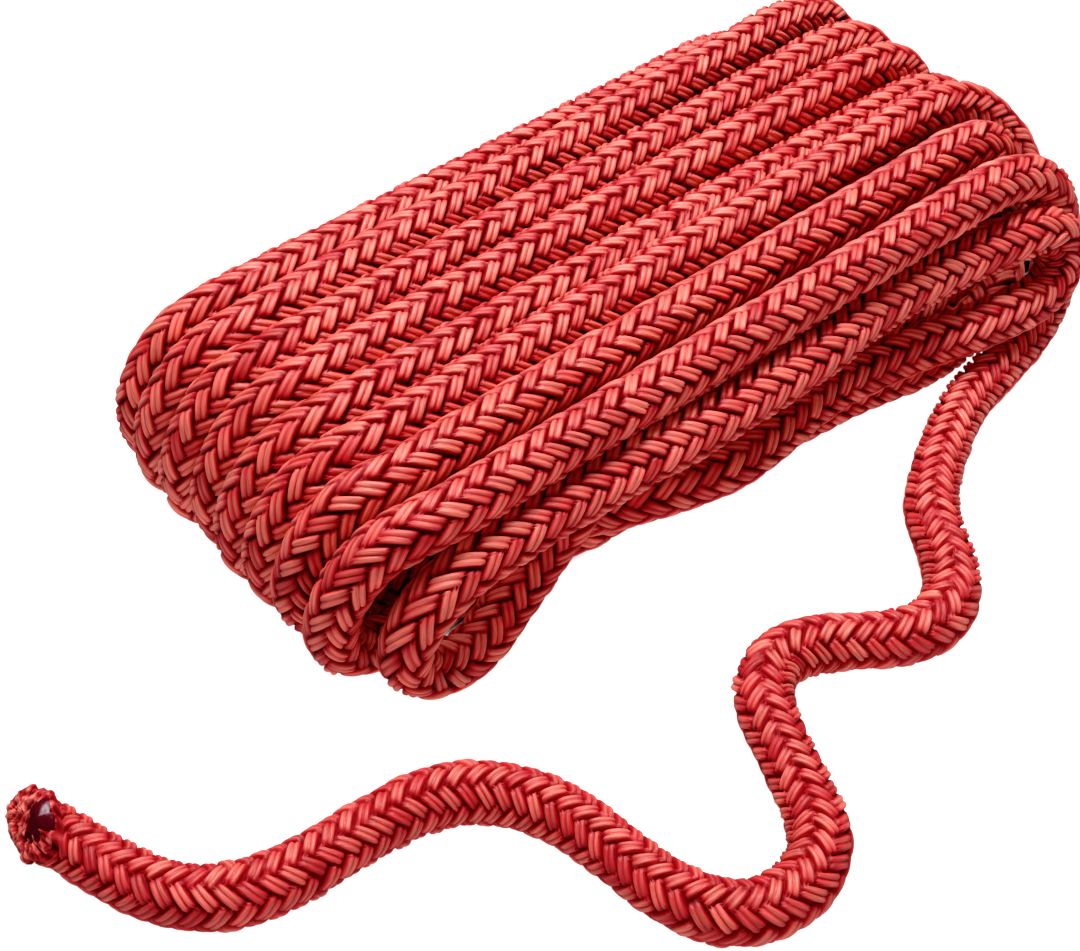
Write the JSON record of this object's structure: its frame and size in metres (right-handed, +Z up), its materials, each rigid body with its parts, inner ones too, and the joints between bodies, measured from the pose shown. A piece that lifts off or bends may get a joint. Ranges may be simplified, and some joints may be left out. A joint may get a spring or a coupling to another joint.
{
  "type": "coiled dock line",
  "caption": "Double-braid mooring rope wound into a flat oval hank, with one free tail lying loose and both ends cut and heat sealed.",
  "frame": {"origin": "on the flat underside of the hank, in the middle of its length and width", "axes": "+X along the turns of the hank, +Y towards the side where the tucked end lies, +Z up"},
  "size_m": [0.3223, 0.2158, 0.054],
  "materials": {
    "hank": "matte",
    "cover_braid": "matte",
    "core_braid": "matte",
    "cover_seal": "satin",
    "core_seal": "gloss"
  },
  "bodies": {
    "root": {"hank": "hank", "tail_cover": "cover_braid", "tail_core": "core_braid", "tail_cover_seal": "cover_seal", "tail_core_seal": "core_seal", "tucked_end_cover": "cover_braid", "tucked_end_core": "core_braid", "tucked_end_cover_seal": "cover_seal", "tucked_end_core_seal": "core_seal"}
  },
  "joints": []
}
